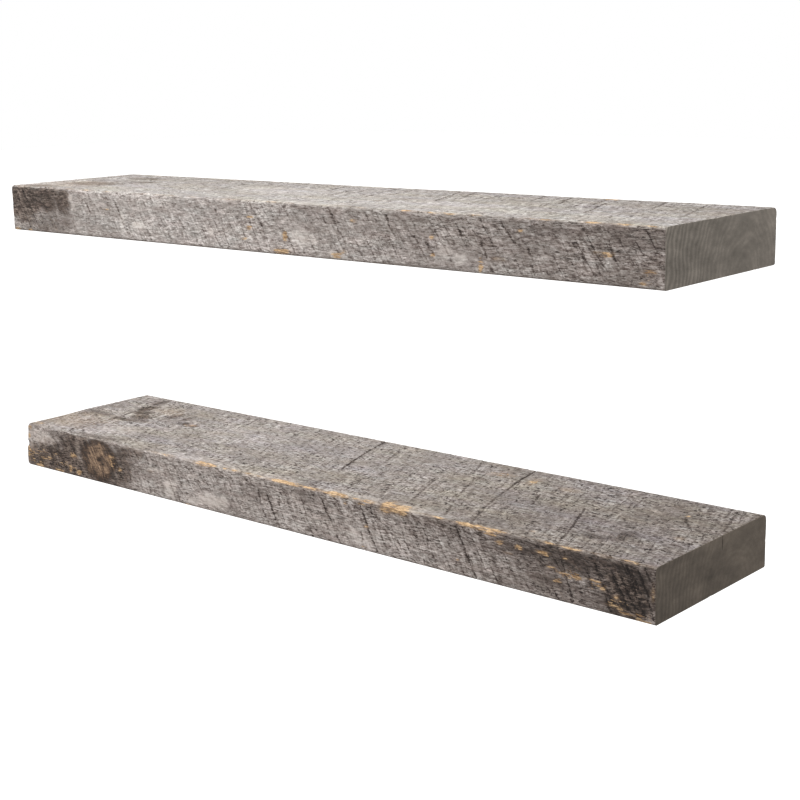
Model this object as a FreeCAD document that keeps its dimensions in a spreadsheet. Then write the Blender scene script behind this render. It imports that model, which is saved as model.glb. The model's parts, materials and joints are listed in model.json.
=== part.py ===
"""Pair of floating wall shelves cut from rough-sawn reclaimed lumber.

Each shelf is one solid beam. A steel plate, screwed to the wall, carries two rods that enter blind
bores in the beam's back edge and hold it up, so that no hardware shows. A routed recess takes the
plate, and the back edge lies flat against the wall.

Frame: millimetres, +X along the shelves, +Y into the wall, +Z up. The origin lies in the wall's
face, at the centre of the drilling pattern of the two shelves.
"""

import FreeCAD, Part
import Sketcher
import math
import os
import re

SIZES = [
    # Beams
    ("beam_length", 610, "length of both beams"),
    ("upper_beam_depth", 130, "wall to front face of the upper beam"),
    ("lower_beam_depth", 134, "wall to front face of the lower beam"),
    ("beam_thickness", 36, "height of both beams"),
    ("shelf_spacing", 197, "height from the lower rod line to the upper one"),
    ("front_top_wear", 2.2, "radius worn on the top edge at the front"),
    ("front_bottom_wear", 1.6, "radius worn on the bottom edge at the front"),
    ("back_top_wear", 4, "radius worn on the top edge at the wall"),
    ("back_bottom_wear", 1.2, "radius worn on the bottom edge at the wall"),
    # Season check in the right end of the lower beam
    ("check_from_wall", 57, "distance of the check from the wall"),
    ("check_mouth", 0.7, "width of the check at the top face"),
    ("check_drop", 10, "depth of the check below the top face"),
    ("check_run", 26, "length of the check along the grain"),
    # Scar of a flake that split from the left end of the lower beam
    ("scar_reach", 35, "radius of the scar on the front face"),
    ("scar_rise", 14, "height of the scar's centre above the top face"),
    ("scar_bite", 2.4, "depth of the scar at its centre"),
    # Brackets
    ("plate_margin", 20, "length of a bracket plate past each outer screw"),
    ("plate_height", 20, "height of a bracket plate"),
    ("plate_thickness", 4, "thickness of a bracket plate"),
    ("plate_corner", 4, "corner radius of a bracket plate"),
    ("rod_spacing", 254, "distance between the two rods of one shelf"),
    ("rod_diameter", 12, "diameter of a rod"),
    ("rod_reach", 100, "length of a rod in front of its plate"),
    ("rod_tip", 1.5, "chamfer at the tip of a rod"),
    ("spigot_diameter", 9, "diameter of the rod's end in the plate"),
    ("spigot_setback", 0.3, "distance of the spigot's end from the wall"),
    ("weld_leg", 2, "leg of the fillet weld round a rod"),
    # Screws
    ("screw_spacing", 406, "distance between the outer screws, which is that of wall studs"),
    ("screw_diameter", 5, "diameter over a screw's thread"),
    ("screw_neck", 3.8, "diameter of the plain neck under a screw's head"),
    ("head_diameter", 9.5, "diameter of a screw's countersunk head"),
    ("screw_length", 50, "length of a screw over its head"),
    ("screw_point", 5, "length of a screw's point"),
    ("drive_span", 5, "span of the cross recess in a screw's head"),
    ("drive_width", 1.4, "width of one slot of the cross recess"),
    ("drive_depth", 1.8, "depth of the cross recess"),
    # Clearances
    ("rod_clearance", 0.3, "gap between a rod and its bore in the beam"),
    ("rod_end_clearance", 5, "bore left in front of a rod's tip"),
    ("recess_clearance", 1, "gap between a plate's edge and its recess"),
    ("recess_relief", 0.5, "gap between a plate's front and its recess"),
    ("weld_clearance", 0.5, "gap between a weld and the mouth of its bore"),
    ("screw_clearance", 0.25, "gap between a screw and its hole in the plate"),
    ("seat_clearance", 0.05, "gap round a spigot or a screw's head in the plate"),
]

DRILL_POINT_ANGLE = 118
COUNTERSINK_ANGLE = 90
FULL_TURN = 360
QUARTER_TURN = 90
EDGE_MATCH = 1e-4

PLATE_LENGTH = "screw_spacing + 2 * plate_margin"

document = FreeCAD.newDocument("floating_shelves")
sheet = document.addObject("Spreadsheet::Sheet", "Sizes")
aliases = [alias for alias, _, _ in SIZES]
for row, (alias, size, note) in enumerate(SIZES, start=1):
    sheet.set(f"A{row}", alias)
    sheet.set(f"B{row}", str(size))
    sheet.set(f"C{row}", note)
    sheet.setAlias(f"B{row}", alias)
document.recompute()


# ---------------------------------------------------------------- drawing in sketches


def named(formula):
    """The formula with each alias of the sheet written as a reference to its cell."""

    def reference(word):
        return f"Sizes.{word[0]}" if word[0] in aliases else word[0]

    return re.sub(r"[a-z_]+", reference, formula)


def amount(formula):
    """The formula's value with the sheet's present sizes."""
    result = sheet.evalExpression(named(formula))
    return float(getattr(result, "Value", result))


def new_body(label, place):
    """An empty body whose origin lies at place, three formulas along X, Y and Z."""
    body = document.addObject("PartDesign::Body", label)
    body.Label = label
    for axis, formula in zip("xyz", place):
        body.setExpression(f"Placement.Base.{axis}", named(formula))
    return body


def datum(body, role):
    """One of the body's own origin planes or axes."""
    return next(item for item in body.Origin.OriginFeatures if item.Role == role)


def sketch_on(body, role, name, lift="0", shift="0"):
    """A sketch on an origin plane of the body, lifted off it and shifted along its own X axis."""
    sketch = body.newObject("Sketcher::SketchObject", name)
    sketch.AttachmentSupport = [(datum(body, role), "")]
    sketch.MapMode = "FlatFace"
    sketch.setExpression("AttachmentOffset.Base.z", named(lift))
    sketch.setExpression("AttachmentOffset.Base.x", named(shift))
    return sketch


def bind(sketch, kind, targets, formula):
    """Adds a dimension whose size follows the formula."""
    index = sketch.addConstraint(Sketcher.Constraint(kind, *targets, amount(formula)))
    sketch.setExpression(f"Constraints[{index}]", named(formula))


def pin_point(sketch, geometry, point, across, up):
    """Holds a point of the sketch at two formulas from the sketch's origin."""
    bind(sketch, "DistanceX", (-1, 1, geometry, point), across)
    bind(sketch, "DistanceY", (-1, 1, geometry, point), up)


def outline(sketch, corners):
    """A closed outline of straight edges through corners, each a pair of formulas."""
    spots = [FreeCAD.Vector(amount(across), amount(up), 0) for across, up in corners]
    for start, end in zip(spots, spots[1:] + spots[:1]):
        sketch.addGeometry(Part.LineSegment(start, end), False)
    for edge in range(len(spots)):
        following = (edge + 1) % len(spots)
        sketch.addConstraint(Sketcher.Constraint("Coincident", edge, 2, following, 1))
    for edge, (across, up) in enumerate(corners):
        pin_point(sketch, edge, 1, across, up)


def rectangle(sketch, left, bottom, right, top):
    """A rectangle between four formulas."""
    outline(sketch, [(left, bottom), (right, bottom), (right, top), (left, top)])


def circle(sketch, across, up, diameter):
    """A circle whose centre and diameter follow formulas."""
    centre = FreeCAD.Vector(amount(across), amount(up), 0)
    upward = FreeCAD.Vector(0, 0, 1)
    index = sketch.addGeometry(Part.Circle(centre, upward, amount(diameter) / 2), False)
    pin_point(sketch, index, 3, across, up)
    bind(sketch, "Diameter", (index,), diameter)


def rounded_rectangle(sketch, width, height, radius):
    """A rectangle with rounded corners, centred on the sketch's origin."""
    side, top, corner = amount(f"({width}) / 2"), amount(f"({height}) / 2"), amount(radius)
    inner_side, inner_top = side - corner, top - corner
    for x1, y1, x2, y2 in (
        (-inner_side, -top, inner_side, -top),
        (side, -inner_top, side, inner_top),
        (inner_side, top, -inner_side, top),
        (-side, inner_top, -side, -inner_top),
    ):
        line = Part.LineSegment(FreeCAD.Vector(x1, y1, 0), FreeCAD.Vector(x2, y2, 0))
        sketch.addGeometry(line, False)
    for x, y, start_angle in (
        (inner_side, -inner_top, -90),
        (inner_side, inner_top, 0),
        (-inner_side, inner_top, 90),
        (-inner_side, -inner_top, 180),
    ):
        ring = Part.Circle(FreeCAD.Vector(x, y, 0), FreeCAD.Vector(0, 0, 1), corner)
        begin = math.radians(start_angle)
        sketch.addGeometry(Part.ArcOfCircle(ring, begin, begin + math.pi / 2), False)
    for line, direction in enumerate(("Horizontal", "Vertical", "Horizontal", "Vertical")):
        arc, following = line + 4, (line + 1) % 4
        sketch.addConstraint(Sketcher.Constraint(direction, line))
        sketch.addConstraint(Sketcher.Constraint("Tangent", line, 2, arc, 1))
        sketch.addConstraint(Sketcher.Constraint("Tangent", arc, 2, following, 1))
    for arc in (5, 6, 7):
        sketch.addConstraint(Sketcher.Constraint("Equal", 4, arc))
    bind(sketch, "Radius", (4,), radius)
    bind(sketch, "DistanceY", (-1, 1, 0, 1), f"-({height}) / 2")
    bind(sketch, "DistanceY", (-1, 1, 2, 1), f"({height}) / 2")
    bind(sketch, "DistanceX", (-1, 1, 1, 1), f"({width}) / 2")
    bind(sketch, "DistanceX", (-1, 1, 3, 1), f"-({width}) / 2")


# ---------------------------------------------------------------- features on a body


def extruded(body, kind, name, sketch, length, **settings):
    """A Pad or Pocket of the sketch whose length follows a formula."""
    feature = body.newObject(f"PartDesign::{kind}", name)
    feature.Profile = sketch
    feature.setExpression("Length", named(length))
    for setting, choice in settings.items():
        setattr(feature, setting, choice)
    return feature


def turned(body, kind, name, sketch):
    """A Revolution or Groove of the sketch, a full turn about the sketch's own Y axis."""
    feature = body.newObject(f"PartDesign::{kind}", name)
    feature.Profile = sketch
    feature.ReferenceAxis = (sketch, ["V_Axis"])
    feature.Angle = FULL_TURN
    return feature


def drilled(body, name, sketch, diameter, mouth, **settings):
    """A countersunk Hole on each circle of the sketch, made after its base is up to date."""
    document.recompute()
    hole = body.newObject("PartDesign::Hole", name)
    hole.Profile = sketch
    hole.HoleCutType = "Countersink"
    hole.HoleCutCustomValues = True
    hole.HoleCutCountersinkAngle = COUNTERSINK_ANGLE
    hole.setExpression("Diameter", named(diameter))
    hole.setExpression("HoleCutDiameter", named(mouth))
    for setting, choice in settings.items():
        setattr(hole, setting, choice)
    return hole


def edges_where(feature, test):
    """Names of the feature's edges whose two ends both pass the test."""
    document.recompute()
    return [
        f"Edge{number}"
        for number, edge in enumerate(feature.Shape.Edges, start=1)
        if len(edge.Vertexes) == 2 and all(test(vertex.Point) for vertex in edge.Vertexes)
    ]


def worn(body, name, base, edges, radius):
    """A Fillet on named edges of the base feature."""
    fillet = body.newObject("PartDesign::Fillet", name)
    fillet.Base = (base, edges)
    fillet.setExpression("Radius", named(radius))
    return fillet


# ---------------------------------------------------------------- shelf beams


def sawn_blank(body, depth):
    """A squared length of lumber with its edges worn by different amounts."""
    section = sketch_on(body, "YZ_Plane", "Section")
    rectangle(section, f"-{depth}", "-beam_thickness / 2", "0", "beam_thickness / 2")
    blank = extruded(body, "Pad", "SawnBlank", section, "beam_length", SideType="Symmetric")
    front, top = -amount(depth), amount("beam_thickness") / 2
    for name, radius, y, z in (
        ("FrontTopWear", "front_top_wear", front, top),
        ("FrontBottomWear", "front_bottom_wear", front, -top),
        ("BackTopWear", "back_top_wear", 0, top),
        ("BackBottomWear", "back_bottom_wear", 0, -top),
    ):

        def along(point):
            return abs(point.y - y) < EDGE_MATCH and abs(point.z - z) < EDGE_MATCH

        blank = worn(body, name, blank, edges_where(blank, along), radius)


def bracket_seat(body):
    """A recess for the bracket plate and, in its floor, a blind bore for each rod."""
    recess_outline = sketch_on(body, "XZ_Plane", "RecessOutline")
    rounded_rectangle(
        recess_outline,
        f"{PLATE_LENGTH} + 2 * recess_clearance",
        "plate_height + 2 * recess_clearance",
        "plate_corner + recess_clearance",
    )
    recess_depth = "plate_thickness + recess_relief"
    extruded(body, "Pocket", "PlateRecess", recess_outline, recess_depth, Reversed=True)

    bore_centres = sketch_on(body, "XZ_Plane", "BoreCentres", lift=recess_depth)
    bore_diameter = "rod_diameter + 2 * rod_clearance"
    circle(bore_centres, "-rod_spacing / 2", "0", bore_diameter)
    circle(bore_centres, "rod_spacing / 2", "0", bore_diameter)
    bores = drilled(
        body,
        "RodBores",
        bore_centres,
        bore_diameter,
        "rod_diameter + 2 * weld_leg + 2 * weld_clearance",
        DepthType="Dimension",
        DrillPoint="Angled",
        DrillPointAngle=DRILL_POINT_ANGLE,
        Reversed=True,
    )
    bores.setExpression("Depth", named("rod_reach - recess_relief + rod_end_clearance"))


def season_check(body):
    """A crack that opened as the lumber dried, down from the top face in the right end."""
    wedge = sketch_on(body, "YZ_Plane", "CheckWedge", lift="beam_length / 2")
    outline(
        wedge,
        [
            ("-check_from_wall - check_mouth / 2", "beam_thickness / 2"),
            ("-check_from_wall", "beam_thickness / 2 - check_drop"),
            ("-check_from_wall + check_mouth / 2", "beam_thickness / 2"),
        ],
    )
    extruded(body, "Pocket", "SeasonCheck", wedge, "check_run")


def flake_scar(body, depth):
    """A shallow round scoop in the front face at the left end, where a flake split off.

    It is cut by a large ball whose centre lies in front of the beam.
    """
    profile = sketch_on(
        body,
        "XY_Plane",
        "ScarProfile",
        lift="beam_thickness / 2 + scar_rise",
        shift="-beam_length / 2",
    )
    ball_radius = "(scar_reach ^ 2 + scar_bite ^ 2) / (2 * scar_bite)"
    deepest, outside = f"-{depth} + scar_bite", f"-{depth} - scar_bite"
    centre = FreeCAD.Vector(0, amount(f"{deepest} - {ball_radius}"), 0)
    rim_height = amount(outside) - centre.y
    rim_radius = math.sqrt(amount(ball_radius) ** 2 - rim_height**2)
    tip = FreeCAD.Vector(0, amount(deepest), 0)
    hub = FreeCAD.Vector(0, amount(outside), 0)
    rim = FreeCAD.Vector(rim_radius, amount(outside), 0)
    ball = Part.Circle(centre, FreeCAD.Vector(0, 0, 1), amount(ball_radius))
    profile.addGeometry(Part.LineSegment(tip, hub), False)
    profile.addGeometry(Part.LineSegment(hub, rim), False)
    profile.addGeometry(
        Part.ArcOfCircle(ball, math.atan2(rim_height, rim_radius), math.pi / 2), False
    )
    profile.addConstraint(Sketcher.Constraint("Coincident", 0, 2, 1, 1))
    profile.addConstraint(Sketcher.Constraint("Coincident", 1, 2, 2, 1))
    profile.addConstraint(Sketcher.Constraint("Coincident", 2, 2, 0, 1))
    profile.addConstraint(Sketcher.Constraint("Horizontal", 1))
    pin_point(profile, 0, 1, "0", deepest)
    pin_point(profile, 0, 2, "0", outside)
    pin_point(profile, 2, 3, "0", f"{deepest} - {ball_radius}")
    turned(body, "Groove", "FlakeScar", profile)


def shelf_beam(label, depth, rod_line):
    """A beam with its bracket seat. Body origin: in the wall's face, on the rod line."""
    body = new_body(label, ("0", "0", rod_line))
    sawn_blank(body, depth)
    bracket_seat(body)
    return body


# ---------------------------------------------------------------- brackets


def bracket_plate(label, rod_line):
    """A flat steel bar with a hole for each rod's spigot and three countersunk screw holes.

    Body origin: in the wall's face, at mid length, on the rod line.
    """
    body = new_body(label, ("0", "0", rod_line))
    blank_outline = sketch_on(body, "XZ_Plane", "PlateOutline")
    rounded_rectangle(blank_outline, PLATE_LENGTH, "plate_height", "plate_corner")
    extruded(body, "Pad", "PlateBlank", blank_outline, "plate_thickness")

    spigot_seats = sketch_on(body, "XZ_Plane", "SpigotSeats")
    for across in ("-rod_spacing / 2", "rod_spacing / 2"):
        circle(spigot_seats, across, "0", "spigot_diameter + 2 * seat_clearance")
    extruded(body, "Pocket", "SpigotHoles", spigot_seats, "plate_thickness", Reversed=True)

    screw_centres = sketch_on(body, "XZ_Plane", "ScrewCentres", lift="plate_thickness")
    hole_diameter = "screw_diameter + 2 * screw_clearance"
    for across in ("-screw_spacing / 2", "0", "screw_spacing / 2"):
        circle(screw_centres, across, "0", hole_diameter)
    drilled(
        body,
        "ScrewHoles",
        screw_centres,
        hole_diameter,
        "head_diameter + 2 * seat_clearance",
        DepthType="ThroughAll",
    )
    return body


def bracket_rod(label, place):
    """A round bar turned down to a spigot, with the fillet weld that joins it to its plate.

    Body origin: in the wall's face, on the rod's axis.
    """
    body = new_body(label, place)
    profile = sketch_on(body, "XY_Plane", "RodProfile")
    outline(
        profile,
        [
            ("0", "-spigot_setback"),
            ("spigot_diameter / 2", "-spigot_setback"),
            ("spigot_diameter / 2", "-plate_thickness"),
            ("rod_diameter / 2 + weld_leg", "-plate_thickness"),
            ("rod_diameter / 2", "-plate_thickness - weld_leg"),
            ("rod_diameter / 2", "-plate_thickness - rod_reach + rod_tip"),
            ("rod_diameter / 2 - rod_tip", "-plate_thickness - rod_reach"),
            ("0", "-plate_thickness - rod_reach"),
        ],
    )
    turned(body, "Revolution", "TurnedRod", profile)
    return body


# ---------------------------------------------------------------- screws


def wood_screw(label, place):
    """A countersunk screw with a cross recess. Its thread is left plain, at the outer diameter.

    The thread starts at the wall's face, and only the thinner neck lies in the plate. Body origin:
    in the wall's face, on the screw's axis.
    """
    body = new_body(label, place)
    profile = sketch_on(body, "XY_Plane", "ScrewProfile")
    outline(
        profile,
        [
            ("0", "-plate_thickness"),
            ("head_diameter / 2", "-plate_thickness"),
            ("screw_neck / 2", "-plate_thickness + (head_diameter - screw_neck) / 2"),
            ("screw_neck / 2", "0"),
            ("screw_diameter / 2", "0"),
            ("screw_diameter / 2", "-plate_thickness + screw_length - screw_point"),
            ("0", "-plate_thickness + screw_length"),
        ],
    )
    turned(body, "Revolution", "TurnedScrew", profile)

    slot_outline = sketch_on(body, "XZ_Plane", "DriveSlot", lift="plate_thickness")
    across, up = "drive_span / 2", "drive_width / 2"
    rectangle(slot_outline, f"-{across}", f"-{up}", across, up)
    slot = extruded(body, "Pocket", "DriveRecess", slot_outline, "drive_depth")
    cross = body.newObject("PartDesign::PolarPattern", "CrossRecess")
    cross.Originals = [slot]
    cross.Axis = (datum(body, "Y_Axis"), [""])
    cross.Angle = QUARTER_TURN
    cross.Occurrences = 2
    body.Tip = cross
    return body


# ---------------------------------------------------------------- assembly

upper_line, lower_line = "shelf_spacing / 2", "-shelf_spacing / 2"

upper_beam = shelf_beam("upper_shelf_beam", "upper_beam_depth", upper_line)
lower_beam = shelf_beam("lower_shelf_beam", "lower_beam_depth", lower_line)
season_check(lower_beam)
flake_scar(lower_beam, "lower_beam_depth")
bodies = [upper_beam, lower_beam]

for shelf, line in (("upper", upper_line), ("lower", lower_line)):
    bodies.append(bracket_plate(f"{shelf}_bracket_plate", line))
    for side, across in (("left", "-rod_spacing / 2"), ("right", "rod_spacing / 2")):
        bodies.append(bracket_rod(f"{shelf}_{side}_bracket_rod", (across, "0", line)))
    for side, across in (
        ("left", "-screw_spacing / 2"),
        ("middle", "0"),
        ("right", "screw_spacing / 2"),
    ):
        bodies.append(wood_screw(f"{shelf}_{side}_screw", (across, "0", line)))

document.recompute()

for item in document.Objects:
    faults = {"Invalid", "Error"} & set(item.State)
    if faults:
        raise RuntimeError(f"{item.Label} did not build: {sorted(faults)}")
for body in bodies:
    if body.Shape.isNull() or not body.Shape.isValid() or len(body.Shape.Solids) != 1:
        raise RuntimeError(f"{body.Label} is not one valid solid")

os.makedirs("parts", exist_ok=True)
for body in bodies:
    body.Shape.exportStep(f"parts/{body.Label}.step")
    print(f"{body.Label}: {body.Shape.Volume:.1f} mm3")
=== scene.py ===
"""Pair of floating shelves: rough-sawn, weather-grey lumber on hidden rod brackets.

Frame: metres, +X along the shelves, +Y into the wall, +Z up. The origin lies in the wall's face,
midway between the two shelves. Sizes in this file are millimetres unless they say otherwise.
"""
import json
import math

import bmesh
import bpy
import numpy as np
from mathutils import Matrix, Vector

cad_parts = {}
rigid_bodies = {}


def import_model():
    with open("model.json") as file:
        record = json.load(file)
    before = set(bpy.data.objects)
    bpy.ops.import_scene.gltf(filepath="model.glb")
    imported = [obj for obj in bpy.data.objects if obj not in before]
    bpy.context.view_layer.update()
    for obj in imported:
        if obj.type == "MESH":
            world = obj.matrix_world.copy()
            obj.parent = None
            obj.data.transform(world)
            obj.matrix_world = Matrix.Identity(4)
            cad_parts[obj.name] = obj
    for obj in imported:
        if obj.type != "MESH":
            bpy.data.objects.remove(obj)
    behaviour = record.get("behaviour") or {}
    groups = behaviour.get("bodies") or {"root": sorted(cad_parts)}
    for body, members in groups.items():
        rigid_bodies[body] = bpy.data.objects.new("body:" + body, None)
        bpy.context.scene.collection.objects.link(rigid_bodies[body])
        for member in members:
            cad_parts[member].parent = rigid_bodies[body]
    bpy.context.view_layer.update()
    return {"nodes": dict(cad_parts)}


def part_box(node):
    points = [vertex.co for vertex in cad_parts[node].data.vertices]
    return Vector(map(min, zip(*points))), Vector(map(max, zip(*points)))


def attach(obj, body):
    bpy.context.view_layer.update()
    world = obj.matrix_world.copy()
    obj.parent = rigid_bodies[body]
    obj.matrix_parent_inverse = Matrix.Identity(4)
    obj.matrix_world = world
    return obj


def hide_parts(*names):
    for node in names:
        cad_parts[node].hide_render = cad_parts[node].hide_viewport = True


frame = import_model()


# ---------------------------------------- Upper shelf
# A solid beam of old outdoor lumber, sawn rough on a circular mill, weathered grey, and cut
# clean at its ends. A recess routed in its back and two blind bores take the bracket.

MM = 0.001
HALF_LONG, HALF_THICK = 305.0, 18.0
SHELF_LINES = {"upper": 98.5, "lower": -98.5}  # heights of the beams' middles
EDGE_WEAR = (1.6, 2.2, 4.0, 1.2)  # radii at the bottom front, top front, top back, bottom back
STEPS_UP, STEPS_DEEP, STEPS_LONG = 34, 88, 560
HIDDEN_STRIDE = 4  # steps along the beam that one face underneath or at the wall spans
ARRIS = 0.3  # the cut ends' own edges


def wander(spots, pitch, seed):
    """Smooth noise, mostly from -1 to 1, that turns about every pitch millimetres."""
    grid = spots / np.asarray(pitch, float) + 31.7 * seed
    cell = np.floor(grid).astype(np.int64)
    part = grid - cell
    ease = part**3 * (part * (part * 6 - 15) + 10)
    total = np.zeros(len(spots))
    for corner in np.ndindex(2, 2, 2):
        # The slope at a corner of the cell, scrambled from the corner's whole numbers.
        code = (cell + corner) @ np.array([73856093, 19349663, 83492791]) + 6364136 * seed
        code &= 0xFFFFFFFF
        code = (code ^ (code >> 15)) * 0x2C1B3C6D & 0xFFFFFFFF
        code = (code ^ (code >> 12)) * 0x297A2D39 & 0xFFFFFFFF
        code ^= code >> 15
        slope = (code[:, None] >> np.array([0, 9, 18]) & 511) / 255.5 - 1
        share = np.where(corner, ease, 1 - ease).prod(axis=1)
        total += share * ((part - corner) * slope).sum(axis=1)
    return 1.7 * total


def fade(start, end, amount):
    """Smooth step from 0 where the amount is start to 1 where it is end."""
    part = np.clip((amount - start) / (end - start), 0, 1)
    return part * part * (3 - 2 * part)


def spots_on(along, across, places, raggedness):
    """1 inside and 0 outside soft ovals, each (along, across, half length, half width, weight)."""
    total = np.zeros(len(along))
    for x, a, half_length, half_width, weight in places:
        away = np.hypot((along - x) / half_length, (across - a) / half_width) + raggedness
        total = np.maximum(total, weight * fade(1.15, 0.35, away))
    return total


SAW_PITCH = 10.6  # feed of the log between two strokes of the same tooth
TOP_LEAN = 0.33  # how far a saw mark on top runs along the beam for 1 mm across it
FAR_MARK, FAR_KNOT = 9.0, 60.0  # distances to the nearest mark and knot are kept up to here


def nearest_mark(along, across, marks):
    """Distance to the nearest mark, each (weight, corner, corner, ...), and its weight."""
    gap, weight = np.full(len(along), FAR_MARK), np.zeros(len(along))
    for strength, *corners in marks:
        for (x1, a1), (x2, a2) in zip(corners, corners[1:]):
            run, rise = x2 - x1, a2 - a1
            part = ((along - x1) * run + (across - a1) * rise) / (run**2 + rise**2)
            part = np.clip(part, 0, 1)
            away = np.hypot(along - x1 - part * run, across - a1 - part * rise)
            closer = away < gap
            gap[closer], weight[closer] = away[closer], strength
    return gap, weight


def section_loop(front, low, high):
    """Points (y, z) round a beam's section and their outward directions, from the bottom front."""
    up = np.linspace(low, high, STEPS_UP + 1)[:-1]
    deep = np.linspace(front, 0, STEPS_DEEP + 1)[:-1]
    sides = (
        np.stack([np.full(STEPS_UP, front), up], 1),
        np.stack([deep, np.full(STEPS_DEEP, high)], 1),
        np.stack([np.zeros(STEPS_UP), low + high - up], 1),
        np.stack([front - deep, np.full(STEPS_DEEP, low)], 1),
    )
    outward = np.repeat([(-1, 0), (0, 1), (1, 0), (0, -1)], [len(s) for s in sides], axis=0)
    outward = outward.astype(float)
    loop = np.concatenate(sides)
    corners = ((front, low), (front, high), (0, high), (0, low))
    for radius, (y, z) in zip(EDGE_WEAR, corners):
        inward = np.array([1 if y == front else -1, 1 if z == low else -1])
        hub = np.array([y, z]) + radius * inward
        reach = (loop - hub) * -inward
        inside = (reach > 0).all(axis=1)
        arrow = loop[inside] - hub
        arrow /= np.linalg.norm(arrow, axis=1, keepdims=True)
        loop[inside], outward[inside] = hub + radius * arrow, arrow
    return loop, outward


def lumber_surface(spots, outward, middle, front, wear, seed):
    """How deep weather and the mill have cut each spot, and the traces that colour it."""
    x, y, z = spots.T
    z = z - middle
    facing_front = np.clip(-outward[:, 1], 0, 1) ** 2
    facing_top = np.clip(outward[:, 2], 0, 1) ** 2
    on_front = facing_front > 0.5
    in_view = ((on_front, z, "front_"), (facing_top > 0.5, y, "top_"))
    upright = outward[:, 1] ** 2
    near_top_edge = (y - front) + (HALF_THICK - z)
    near_bottom_edge = (y - front) + (HALF_THICK + z)
    near_end = HALF_LONG - np.abs(x)

    # The strokes of the teeth, and the single marks where one bit deeper.
    sway = wander(spots, (26, 15, 15), seed + 1)
    run = x + 1.6 * sway + 0.7 * wander(spots, (7, 4, 4), seed + 2)
    run += upright * (wear["lean"] * z + 0.004 * z * z) + (1 - upright) * TOP_LEAN * y
    stroke = np.abs(run / SAW_PITCH % 1 - 0.5) * SAW_PITCH
    broken = np.clip(0.25 + 0.9 * wander(spots, (12, 7, 7), seed + 3), 0, 1)
    strokes = np.exp(-((stroke / 0.8) ** 2)) * broken
    ramp = (run / SAW_PITCH % 1 - 0.5) * 0.35

    jitter = 0.5 * wander(spots, (4, 2.5, 2.5), seed + 4)
    gap, bite = np.full(len(x), FAR_MARK), np.zeros(len(x))
    for there, across, face in in_view:
        gap[there], bite[there] = nearest_mark(
            x[there] + jitter[there], across[there] + jitter[there], wear[face + "marks"])
    marked = np.exp(-((gap / 0.75) ** 2)) * bite

    # Fibres torn out by the saw, pits left by the weather, slow swelling and chipped edges.
    torn = np.clip(0.75 * wander(spots, (8, 2.1, 2.1), seed + 5)
                   + 0.5 * wander(spots, (17, 4, 4), seed + 6) - 0.05, 0, 1)
    pits = np.clip(wander(spots, (4.2, 2.4, 2.4), seed + 7) - 0.42, 0, 1) * 2
    swell = 0.3 + 0.25 * wander(spots, (80, 34, 22), seed + 8)
    chipped = np.exp(-np.minimum(near_top_edge, near_bottom_edge) / 1.6) * np.clip(
        wander(spots, (11, 8, 8), seed + 9) + 0.15, 0, 1)

    # Patches rubbed smooth, split to fresh wood, grazed or stained.
    raggedness = 0.22 * wander(spots, (5, 2.2, 2.2), seed + 10)
    rough = 0.25 * wander(spots, (9, 5, 5), seed + 11)

    def front_and_top(kind, edge):
        found = np.zeros(len(x))
        for there, across, face in in_view:
            found[there] = spots_on(x[there], across[there], wear[face + kind], edge[there])
        return found

    rubbed = front_and_top("rubs", raggedness)
    fresh = front_and_top("flecks", raggedness * 1.4)
    grazed = front_and_top("grazes", raggedness)
    stain = front_and_top("stains", rough * 0.8)
    from_edge = (y - front) * 0.45 + (HALF_THICK - z)
    for start, end, width, weight in wear["worn_edge"]:
        there = fade(start - 8, start + 4, x) * fade(end + 8, end - 4, x) * weight
        reach = width * (1 + 0.75 * wander(spots, (14, 30, 30), seed + 12))
        fresh = np.maximum(fresh, there * fade(reach, 0.3 * reach, from_edge))
    fresh = np.maximum(fresh, 0.55 * fade(1.6, 0.2, near_bottom_edge)
                       * np.clip(wander(spots, (13, 9, 9), seed + 13) * 1.6, 0, 1))

    # Millimetres down from the planed size. The underside weathers less.
    depth = (swell + ramp * 0.3 + 0.26 * torn * (1 - 0.6 * rubbed) + 0.45 * pits * (1 - rubbed)
             + 0.24 * strokes * (1 - 0.5 * rubbed) + 0.6 * marked + 0.55 * chipped
             + 0.4 * np.exp(-near_end / 0.7) * np.clip(wander(spots, (3, 4, 4), seed + 14), 0, 1)
             * np.maximum(facing_front, facing_top))
    depth = depth * (1 - 0.5 * np.clip(-outward[:, 2], 0, 1))
    hollow = np.clip(0.55 * pits + 0.3 * torn + 0.35 * strokes, 0, 1)

    ring, knot = np.full(len(x), FAR_KNOT), np.zeros(len(x))
    for knot_x, knot_z, half_length, half_width in wear["front_knots"]:
        away = np.hypot(x - knot_x, (z - knot_z) * half_length / half_width)
        away = away * (1 + 0.1 * wander(spots, (8, 6, 6), seed + 15))
        closer = on_front & (away < ring)
        ring[closer] = away[closer]
        inside = fade(half_length * 1.2, half_length * 0.84, away[closer])
        knot[closer] = np.maximum(knot[closer], inside)
    return np.maximum(depth - 0.35, 0), {
        "saw_run": run, "mark_gap": gap, "mark_bite": bite, "hollow": hollow, "fresh": fresh,
        "grazed": grazed, "rubbed": rubbed, "stain": stain, "ring": ring, "knot": knot,
        "tone": wear["tone"](x, y, z, facing_front, facing_top), "topside": facing_top,
    }


def long_faces(index, fine):
    """Faces along the beam: fine in the first columns, and in long strides where hidden."""
    around = index.shape[1]
    faces = []
    for s in range(STEPS_LONG):
        row, following = index[s], index[s + 1]
        faces += [(row[c], row[c + 1], following[c + 1], following[c]) for c in range(fine - 1)]
    for s in range(0, STEPS_LONG, HIDDEN_STRIDE):
        row, following = index[s], index[s + HIDDEN_STRIDE]
        for c in range(fine - 1, around):
            after = (c + 1) % around
            first = list(index[s + 1:s + HIDDEN_STRIDE, c][::-1]) if c == fine - 1 else []
            second = list(index[s + 1:s + HIDDEN_STRIDE, 0]) if after == 0 else []
            faces.append((row[c], row[after], *second, following[after], following[c], *first))
    return faces


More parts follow.
